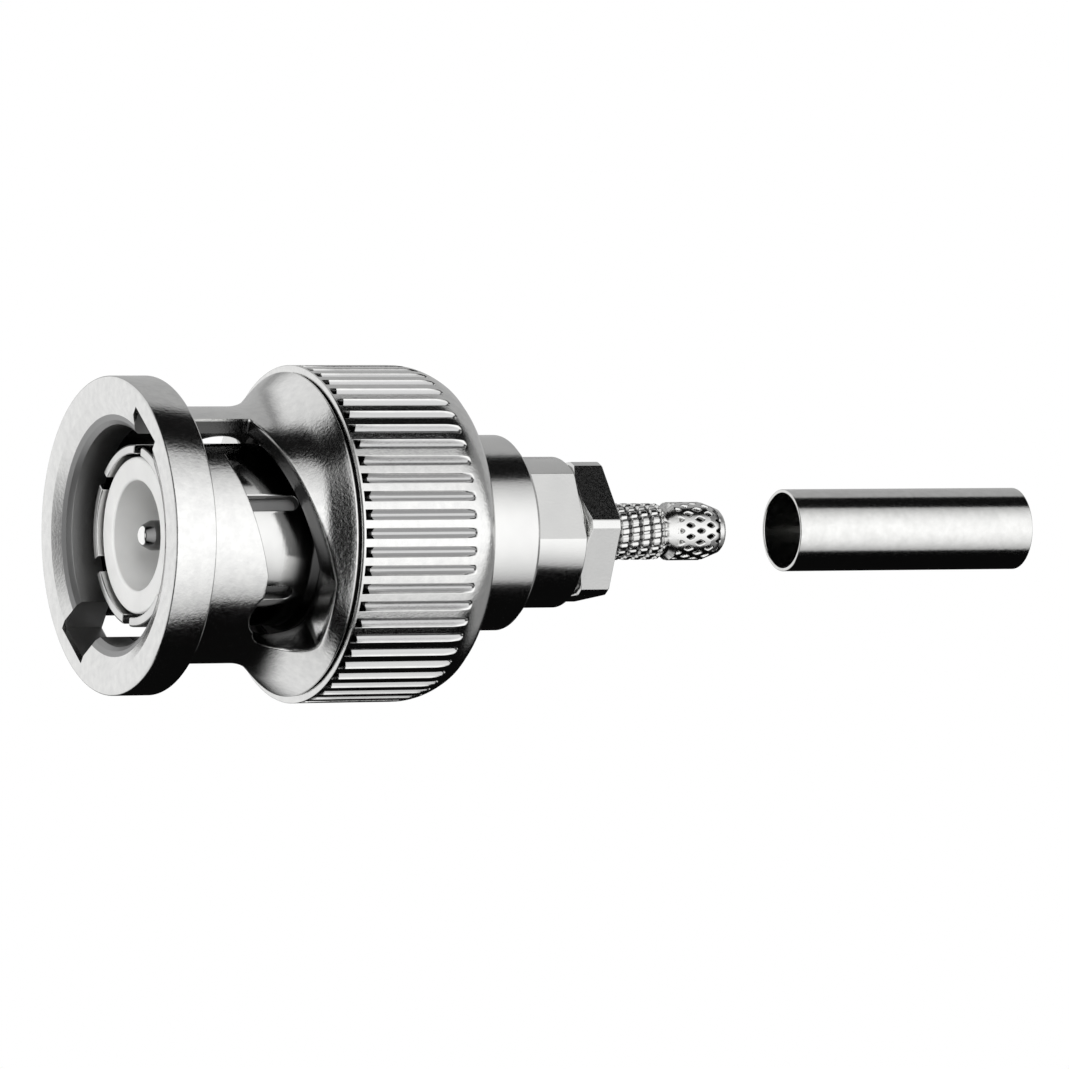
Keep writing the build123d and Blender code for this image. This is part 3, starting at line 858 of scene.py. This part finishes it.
def couplingNut(size, material):
    front, edge = size.frontX, size.slotEdge
    angles = [size.seam + 360 * i / size.columns for i in range(size.columns)]
    flangeEnd = front + size.flangeLength
    rimX = front + size.rimFromFront
    reliefX = rimX + size.rimWidth
    gripX = reliefX + size.reliefWidth
    reliefRadius = size.rimRadius - size.reliefDepth
    shoulder = front + size.shoulderFromFront
    leadIn = front + size.leadInDepth
    shellStart, shellEnd = front + size.shellStart, front + size.shellEnd
    blendX, blendEndX, radiusAt = flareOf(size)
    soft, bore = size.flangeRound, size.boreRadius

    bm = bmesh.new()
    boreStart, neckStart = turnedStrip(bm, rounded([
        (shellStart, bore), (leadIn + size.boreEdge, bore, 0.05), (leadIn, size.leadInRadius, 0.04),
        (front, size.faceBoreRadius, 0.03), (front, size.flangeRadius, soft),
        (flangeEnd, size.flangeRadius, soft), (flangeEnd, size.neckRadius),
    ], 5), angles)
    shellOut, reliefEnd = turnedStrip(bm, rounded([
        (shellEnd, radiusAt(shellEnd)), (rimX, size.rimRadius, 0.04), (reliefX, size.rimRadius, 0.03),
        (reliefX, reliefRadius), (gripX, reliefRadius),
    ]), angles)
    flutes = fluteAngles(size)
    grip = gripOutline(size)
    gripStart, gripEnd = turnedStrip(bm, grip, flutes)
    cavityStart, shellIn = turnedStrip(bm, rounded([
        (grip[-1][0], size.cavityRadius + 0.04), (grip[-1][0] - 0.04, size.cavityRadius),
        (shoulder, size.cavityRadius), (shoulder, bore, 0.05), (shellEnd, bore),
    ]), angles)
    joinUneven(bm, reliefEnd, angles, gripStart, flutes)
    joinUneven(bm, gripEnd, flutes, cavityStart, angles)

    outerHoles, innerHoles = [], []
    for i in range(size.slotCount):
        turn = 360 * i / size.slotCount
        turn += 360 if turn + size.entryAngle < size.seam and i == 0 else 0
        outer, inner = slotWalls(bm, size, turn, radiusAt)
        outerHoles.append(outer)
        innerHoles.append(inner)
    stations = spaced(flangeEnd, blendX, 12)[:-1] + spaced(blendX, blendEndX, 20)[:-1]
    stations += spaced(blendEndX, shellEnd, 4)
    piercedSurface(bm, stations, radiusAt, angles, neckStart, shellOut, outerHoles, size.neckRadius)
    stations = spaced(shellStart, shellEnd, 16)
    piercedSurface(bm, stations, lambda x: bore, angles, boreStart, shellIn, innerHoles, size.neckRadius)
    bmesh.ops.recalc_face_normals(bm, faces=bm.faces)
    unclosed = sum(1 for each in bm.edges if len(each.link_faces) != 2)
    print("nut shell:", len(bm.faces), "faces,", unclosed, "open edges")
    piece = newObject("couplingNut", bm)

    useTree(piece, trees["flutes"], {
        "Count": float(size.fluteCount), "Start": front + size.fluteFromFront - size.pocketLength,
        "End": front + size.fluteToFront, "Floor Radius": size.gripRadius - size.fluteDepth,
        "Half Floor": size.fluteFloorWidth / 2,
        "Wall Slope": 2 * size.fluteDepth / (size.fluteWidth - size.fluteFloorWidth),
        "End Slope": size.fluteDepth / size.fluteFrontWall, "Pocket Length": size.pocketLength,
        "Pocket Half": size.pocketWidth / 2, "Pocket Slope": size.pocketSlope,
        "Least Radius": size.pressAbove, "Material": material,
    })
    half, before = size.entryWidth / 2, front - size.overrun
    start = slotPath(size)[0][2] - 3 * edge
    corners = [(before, -half), (start, -half), (start + size.entryEnd, half), (before, half)]
    entry = slab("entryCutter", corners, 0, size.entryRadius)
    mill(piece, entry, size.slotCount, size.entryAngle, material)
    return finished(piece, material, "nut", "coupling_nut", entry)


couplingNut(SimpleNamespace(**nut), looks["nut"])


# Outer contact

contact = {
    "segments": 192, "innerRadius": 3.64, "radius": 4.08, "tipRound": 0.14, "coneX": 7.05,
    "coneLength": 0.35, "baseRadius": 4.3, "endX": 9.64,
    "slotCount": 6, "slotWidth": 0.7, "slotLength": 6.4, "slotAngle": 40, "cutEdge": 0.04, "overrun": 1,
}


def outerContact(size, material):
    coneEnd = size.coneX + size.coneLength
    piece = lathe("outerContact", rounded([
        (0, size.innerRadius, 0.08), (0, size.radius, size.tipRound),
        (size.coneX, size.radius, 0.3), (coneEnd, size.baseRadius, 0.2),
        (size.endX, size.baseRadius), (size.endX, size.innerRadius),
    ]), size.segments)
    half = size.slotWidth / 2
    roundEnd = arc((size.slotLength - half, 0), half, -90, 90, 12)
    outline = [(-size.overrun, -half)] + roundEnd + [(-size.overrun, half)]
    cutter = slab("fingerCutter", outline, 1, size.baseRadius + size.overrun)
    mill(piece, cutter, size.slotCount, size.slotAngle, material)
    return finished(piece, material, "plug", "outer_contact", cutter, size.cutEdge)


outerContact(SimpleNamespace(**contact), looks["contact"])


# Body, with the collar behind its barrel

body = {
    "segments": 192, "flangeX": 8.36, "flangeEndX": 9.86, "flangeRadius": 6.0, "barrelRadius": 4.42,
    "barrelEndX": 18.33, "barrelEdge": 0.2, "collarRadius": 3.42, "collarEndX": 21.13,
    "stemBore": 2.4, "insulatorEndX": 16.4, "insulatorBore": 3.52, "contactEndX": 9.66,
    "contactBore": 4.32, "flatCount": 2, "flatsAcross": 6.06, "flatAngle": -22.6, "cutEdge": 0.04,
    "cutterWidth": 12, "overrun": (1, 2),
}


def plugBody(size, material):
    edge = size.barrelEdge
    piece = lathe("plugBody", rounded([
        (size.flangeX, size.contactBore), (size.flangeX, size.flangeRadius, 0.08),
        (size.flangeEndX, size.flangeRadius, 0.08), (size.flangeEndX, size.barrelRadius),
        (size.barrelEndX - edge, size.barrelRadius, 0.05),
        (size.barrelEndX, size.barrelRadius - edge, 0.04), (size.barrelEndX, size.collarRadius),
        (size.collarEndX, size.collarRadius, 0.06), (size.collarEndX, size.stemBore, 0.04),
        (size.insulatorEndX, size.stemBore), (size.insulatorEndX, size.insulatorBore),
        (size.contactEndX, size.insulatorBore), (size.contactEndX, size.contactBore),
    ]), size.segments)
    behind, outside = size.overrun
    outline = rectangle(size.barrelEndX, size.collarEndX + behind, size.cutterWidth)
    flats = slab("collarCutter", outline, size.flatsAcross / 2, size.barrelRadius + outside)
    mill(piece, flats, size.flatCount, size.flatAngle, material)
    return finished(piece, material, "plug", "plug_body", flats, size.cutEdge)


plugBody(SimpleNamespace(**body), looks["nickel"])


# Crimp stem: hexagon, beaded rings and a diamond knurl

stem = {
    "segments": 224, "spigotX": 16.4, "spigotRadius": 2.38, "boreRadius": 0.8, "neckX": 21.14,
    "neckRadius": 2.9, "hexagonX": 21.25, "hexagonEndX": 22.87, "hexagonRadius": 3.38,
    "chamferRadius": 3.06, "chamferDepth": 0.2, "flatCount": 6, "flatsAcross": 6.06, "flatAngle": 24,
    "radius": 1.29, "ringsX": 24.14, "ringsLead": 0.9, "ringsEndX": 26.32, "ringPitch": 0.545,
    "ringDepth": 0.13, "ringsFade": 0.08, "ringLine": 0.27, "ringFlat": 0.3, "beadDepth": 0.06,
    "beadCount": 20, "beadTwist": 0.35,
    "waistRadius": 1.1, "knurlX": 26.74, "knurlRise": 0.22, "knurlRadius": 1.33, "knurlEndX": 28.61,
    "knurlTail": 0.4, "knurlFade": 0.25, "knurlLine": 0.42, "knurlFlat": 0.5, "knurlCount": 15,
    "knurlPitch": 1.06, "knurlDepth": 0.3, "tipX": 29.56, "tipRadius": 1.02, "tipEdge": 0.1,
    "boreGuard": 0.05, "step": 0.035, "cutEdge": 0.03, "cutterWidth": 12, "overrun": (0.01, 0.3, 2),
}


def evenly(start, end, step, radiusAt):
    count = max(1, round((end - start) / step))
    return [(start + (end - start) * i / count, radiusAt(i / count)) for i in range(count + 1)]


def crimpStem(size, material):
    narrow, knurl = size.waistRadius, size.knurlRadius
    outline = rounded([
        (size.spigotX, size.boreRadius), (size.spigotX, size.spigotRadius, 0.1),
        (size.neckX, size.spigotRadius), (size.neckX, size.neckRadius, 0.03),
        (size.hexagonX, size.neckRadius), (size.hexagonX, size.chamferRadius),
        (size.hexagonX + size.chamferDepth, size.hexagonRadius, 0.04),
        (size.hexagonEndX, size.hexagonRadius, 0.05), (size.hexagonEndX, size.radius),
    ])
    waistX = (size.ringsEndX + size.knurlX) / 2
    ringsStart = size.ringsX - size.ringsLead
    outline += evenly(ringsStart, size.ringsEndX, size.step, lambda share: size.radius)
    outline += [(waistX, narrow), (size.knurlX, narrow)]
    knurlStart, tipEdge = size.knurlX + size.knurlRise, size.tipEdge
    outline += evenly(knurlStart, size.knurlEndX, size.step, lambda share: knurl)
    taper = evenly(size.knurlEndX, size.tipX - tipEdge, size.step,
                   lambda share: knurl + (size.tipRadius - knurl) * share)
    outline += taper[1:] + [(size.tipX, size.tipRadius - tipEdge), (size.tipX, size.boreRadius)]
    piece = lathe("crimpStem", outline, size.segments)
    lines, count = 1 / size.knurlPitch, float(size.knurlCount)
    shared = {"Least Radius": size.boreRadius + size.boreGuard, "Material": material}
    useTree(piece, trees["knurl"], {
        "Start": ringsStart, "End": size.ringsEndX, "Fade": size.ringsFade,
        "Count A": float(size.beadCount), "Lines per mm A": size.beadTwist,
        "Count B": 0.0, "Lines per mm B": 1 / size.ringPitch,
        "Groove A": size.beadDepth, "Groove B": size.ringDepth, "Pit Depth": 0.0,
        "Line Width": size.ringLine, "Line Flat": size.ringFlat, **shared,
    })
    useTree(piece, trees["knurl"], {
        "Start": knurlStart, "End": size.knurlEndX + size.knurlTail, "Fade": size.knurlFade,
        "Count A": count, "Lines per mm A": lines, "Count B": count, "Lines per mm B": -lines,
        "Groove A": 0.0, "Groove B": 0.0, "Pit Depth": size.knurlDepth,
        "Line Width": size.knurlLine, "Line Flat": size.knurlFlat, **shared,
    })
    ahead, behind, outside = size.overrun
    outline = rectangle(size.neckX - ahead, size.hexagonEndX + behind, size.cutterWidth)
    flats = slab("hexagonCutter", outline, size.flatsAcross / 2, size.hexagonRadius + outside)
    mill(piece, flats, size.flatCount, size.flatAngle, material)
    return finished(piece, material, "plug", "crimp_stem", flats, size.cutEdge)


crimpStem(SimpleNamespace(**stem), looks["stem"])


# Crimp ferrule

ferrule = {"segments": 160, "x": 32.97, "endX": 45.17, "innerRadius": 1.72, "outerRadius": 1.88, "edge": 0.06}


def bandOutline(start, end, size, steps):
    # a strip's or a tube's section with rounded edges
    return rounded([(x, radius, size["edge"]) for x, radius in (
        (start, size["innerRadius"]), (start, size["outerRadius"]),
        (end, size["outerRadius"]), (end, size["innerRadius"]))], steps)


def tube(name, size, material, body, node, steps):
    piece = lathe(name, bandOutline(size["x"], size["endX"], size, steps), size["segments"])
    return finished(piece, material, body, node)


tube("crimpFerrule", ferrule, looks["ferrule_metal"], "ferrule", "crimp_ferrule", 3)


# Insulator and centre pin

insulator = {
    "segments": 160, "x": 0.23, "endX": 12.86, "radius": 3.5, "recessRadius": 2.45, "recessDepth": 5.6,
    "hole": 0.52, "edge": 0.12,
}
pin = {
    "segments": 96, "tipX": 0.46, "tipRadius": 0.42, "taper": 0.5, "radius": 0.675, "rootX": 5.81,
    "rootRadius": 0.5, "shoulderX": 12.88, "shoulderRadius": 1.2, "barrelX": 13.48, "barrelRadius": 0.95,
    "endX": 16.08, "wireBore": 0.3, "wireDepth": 2.2,
}


def frontInsulator(size, material):
    floor = size.x + size.recessDepth
    piece = lathe("frontInsulator", rounded([
        (size.x, size.recessRadius, size.edge), (size.x, size.radius, size.edge),
        (size.endX, size.radius, size.edge), (size.endX, size.hole),
        (floor, size.hole), (floor, size.recessRadius, 0.2),
    ], 5), size.segments)
    return finished(piece, material, "plug", "front_insulator")


def centerPin(size, material):
    boreEnd = size.endX - size.wireDepth
    piece = lathe("centerPin", rounded([
        (size.tipX, 0), (size.tipX, size.tipRadius, 0.2),
        (size.tipX + size.taper, size.radius, 0.3), (size.rootX, size.radius, 0.03),
        (size.rootX, size.rootRadius), (size.shoulderX, size.rootRadius),
        (size.shoulderX, size.shoulderRadius, 0.05), (size.barrelX, size.shoulderRadius, 0.05),
        (size.barrelX, size.barrelRadius), (size.endX, size.barrelRadius, 0.08),
        (size.endX, size.wireBore, 0.05), (boreEnd, size.wireBore), (boreEnd, 0),
    ], 5), size.segments)
    return finished(piece, material, "plug", "center_pin")


frontInsulator(SimpleNamespace(**insulator), looks["ptfe"])
centerPin(SimpleNamespace(**pin), looks["pin"])


# Gasket

gasket = {"segments": 128, "x": 7.54, "endX": 8.34, "innerRadius": 4.32, "outerRadius": 4.74, "edge": 0.1}

tube("sealingRing", gasket, looks["silicone"], "plug", "gasket", 5)


# Wave springs, built at rest; the nut's push would flatten both against the body's flange

springs = {
    "segments": 180, "waves": 3, "waveHeight": 0.4, "thickness": 0.25, "innerRadius": 4.75,
    "outerRadius": 5.95, "edge": 0.04, "seatX": 9.86, "keep": 0.43, "places": [
        {"name": "frontWaveSpring", "node": "front_wave_spring", "x": 9.88, "phase": 0},
        {"name": "rearWaveSpring", "node": "rear_wave_spring", "x": 10.95, "phase": 180},
    ],
}


def waveSpring(size, place, material):
    height = size["waveHeight"]
    section = bandOutline(0, size["thickness"], size, 3)
    bm = bmesh.new()
    loops = []
    for i in range(size["segments"]):
        angle = 360 * i / size["segments"]
        wave = math.cos(math.radians(size["waves"] * angle + place["phase"]))
        middle = place["x"] + height + height * wave
        loops.append([bm.verts.new(polar(middle + x, radius, angle)) for x, radius in section])
    for loop, following in zip(loops, loops[1:] + loops[:1]):
        joinRings(bm, loop, following)
    bmesh.ops.recalc_face_normals(bm, faces=bm.faces)
    piece = finished(newObject(place["name"], bm), material, "plug", place["node"])
    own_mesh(piece)


for place in springs["places"]:
    waveSpring(springs, place, looks["spring_steel"])

# the other pieces inside keep their solids and get their finishes
for node, look in (("nut_rear_ring", "nut"), ("thrust_washer", "nickel"), ("rear_insulator", "ptfe")):
    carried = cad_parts[node]
    carried.data.materials.clear()
    carried.data.materials.append(looks[look])


# Studio: light cards round the plug, as metal sees them, and an even light on the rest

cards = [
    # middle and half width round the axis, start and end from +X, edge softness, all in degrees; the light
    # at the middle, and the share of it lost at the edge
    {"name": "mainPanel", "middle": -1, "half": 61, "start": 0, "end": 134, "edge": 4, "blur": 12,
     "light": 1.47, "droop": 0.62},
    {"name": "topBack", "middle": -143, "half": 37, "start": 0, "end": 78, "edge": 5, "blur": 10,
     "light": 0.5, "droop": 0},
    {"name": "behind", "middle": 180, "half": 75, "start": 100, "end": 142, "edge": 14, "blur": 26,
     "light": 1.05, "droop": 0.15},
    {"name": "rearEnd", "middle": 180, "half": 180, "start": -20, "end": 30, "edge": 4, "blur": 12,
     "light": 0.3, "droop": 0},
    {"name": "frontEnd", "middle": 180, "half": 180, "start": 168, "end": 200, "edge": 4, "blur": 6,
     "light": 0.7, "droop": 0},
]
levels = {"darkest": 0.004, "even": 0.5, "background": 1.0}    # 1 is white


def cardGroup():
    tree, given, result = newTree("lightCard", "ShaderNodeTree", [
        "Around", "Tilt", "Middle", "Half", "Start", "End", "Edge", "Blur", "Light", "Droop",
    ], ["Light"])
    half, tilt, blur = given["Half"], given["Tilt"], given["Blur"]
    away = (given["Around"] - given["Middle"]).calc("WRAP", 180, -180).calc("ABSOLUTE")
    roundMask = fade(tree, away * -1, (half + given["Edge"]) * -1, half * -1)
    startMask = fade(tree, tilt, given["Start"] - blur, given["Start"])
    endMask = 1 - fade(tree, tilt, given["End"], given["End"] + blur)
    fall = (away / half).calc("POWER", 2) * given["Droop"]
    light = given["Light"] * (1 - fall).atLeast(0)
    plug(roundMask * (startMask * endMask) * light, result["Light"])
    return tree


def buildWorld():
    world = bpy.data.worlds.new("studio")
    bpy.context.scene.world = world
    world.use_nodes = True
    tree = world.node_tree
    tree.nodes.clear()
    x, y, z = split(tree, addNode(tree, "ShaderNodeTexCoord", output="Generated"))
    seenFrom = {"Around": (z * -1).calc("ARCTAN2", y * -1).calc("DEGREES"),
                "Tilt": x.calc("ARCCOSINE").calc("DEGREES")}
    group = cardGroup()
    total = levels["darkest"]
    for card in cards:
        place = {key.capitalize(): value for key, value in card.items() if key != "name"}
        light = addNode(tree, "ShaderNodeGroup", {**seenFrom, **place}, node_tree=group, label=card["name"])
        total = light.calc("MAXIMUM", total)
    cardLight, even, white = [
        addNode(tree, "ShaderNodeBackground", {"Color": (1, 1, 1, 1), "Strength": strength})
        for strength in (total, levels["even"], levels["background"])]
    ray = addNode(tree, "ShaderNodeLightPath", output="Is Camera Ray")
    seen = ray.calc("MAXIMUM", ray.also("Is Transmission Ray"))
    glossy = addNode(tree, "ShaderNodeMixShader", {0: ray.also("Is Glossy Ray"), 1: even, 2: cardLight})
    final = addNode(tree, "ShaderNodeMixShader", {0: seen, 1: glossy, 2: white})
    addNode(tree, "ShaderNodeOutputWorld", {"Surface": final})


floorSize = {
    "z": -45, "half": 300, "colour": 0.86, "roughness": 0.9, "glow": 0.16, "fadeStart": 70, "fadeEnd": 230,
}


def buildFloor(size):
    bm = bmesh.new()
    half, z = size["half"] * mm, size["z"] * mm
    bm.faces.new([bm.verts.new((x * half, y * half, z)) for x, y in ((-1, -1), (1, -1), (1, 1), (-1, 1))])
    floor = newObject("floor", bm)
    material = bpy.data.materials.new("paleFloor")
    material.use_nodes = True
    tree = material.node_tree
    # it fades to white before its edge
    place = addNode(tree, "ShaderNodeTexCoord", output="Object")
    away = addNode(tree, "ShaderNodeVectorMath", {0: place}, "Value", operation="LENGTH")
    glow = fade(tree, away, size["fadeStart"] * mm, size["fadeEnd"] * mm, size["glow"])
    seen = addNode(tree, "ShaderNodeLightPath", output="Is Camera Ray") * glow
    for socket, value in (("Base Color", (size["colour"],) * 3 + (1,)), ("Roughness", size["roughness"]),
                          ("Specular IOR Level", 0), ("Emission Color", (1, 1, 1, 1)),
                          ("Emission Strength", seen)):
        plug(value, tree.nodes["Principled BSDF"].inputs[socket])
    floor.data.materials.append(material)
    floor.visible_glossy = False


lamps = [
    {"name": "frontLamp", "at": (-400, -100, 100), "size": 110, "watts": 0.72},
    {"name": "sideLamp", "at": (-150, -430, 180), "size": 190, "watts": 0.9},
    {"name": "fillLamp", "at": (260, 120, 180), "size": 220, "watts": 0.35},
]


def buildLamps():
    for lamp in lamps:
        light = bpy.data.lights.new(lamp["name"], "AREA")
        light.size = lamp["size"] * mm
        light.energy = lamp["watts"]
        holder = placed(lamp["name"], light)
        holder.location = Vector(lamp["at"]) * mm
        holder.rotation_euler = (-holder.location).to_track_quat("-Z", "Y").to_euler()
        holder.visible_glossy = False


view = {
    "place": (-214.4, -452.6, -0.1), "axisAngle": 62.6, "roll": -0.47,
    "focal": 11250, "frame": 1069, "sensor": 36,    # focal length and frame in pixels, sensor in mm
    "clip": (0.01, 10),
}


def buildCamera(setting):
    data = bpy.data.cameras.new("camera")
    data.sensor_width = setting["sensor"]
    data.lens = setting["sensor"] * setting["focal"] / setting["frame"]
    data.clip_start, data.clip_end = setting["clip"]
    camera = placed("camera", data)
    angle = math.radians(setting["axisAngle"])
    ahead = Vector((math.cos(angle), math.sin(angle), 0))
    turned = ahead.to_track_quat("-Z", "Y").to_matrix().to_4x4()
    roll = Matrix.Rotation(math.radians(setting["roll"]), 4, "Z")
    camera.matrix_world = Matrix.Translation(Vector(setting["place"]) * mm) @ turned @ roll
    bpy.context.scene.camera = camera


buildWorld()
buildFloor(floorSize)
buildLamps()
buildCamera(view)
bpy.context.scene.view_settings.view_transform = "Standard"
print("studio ready")
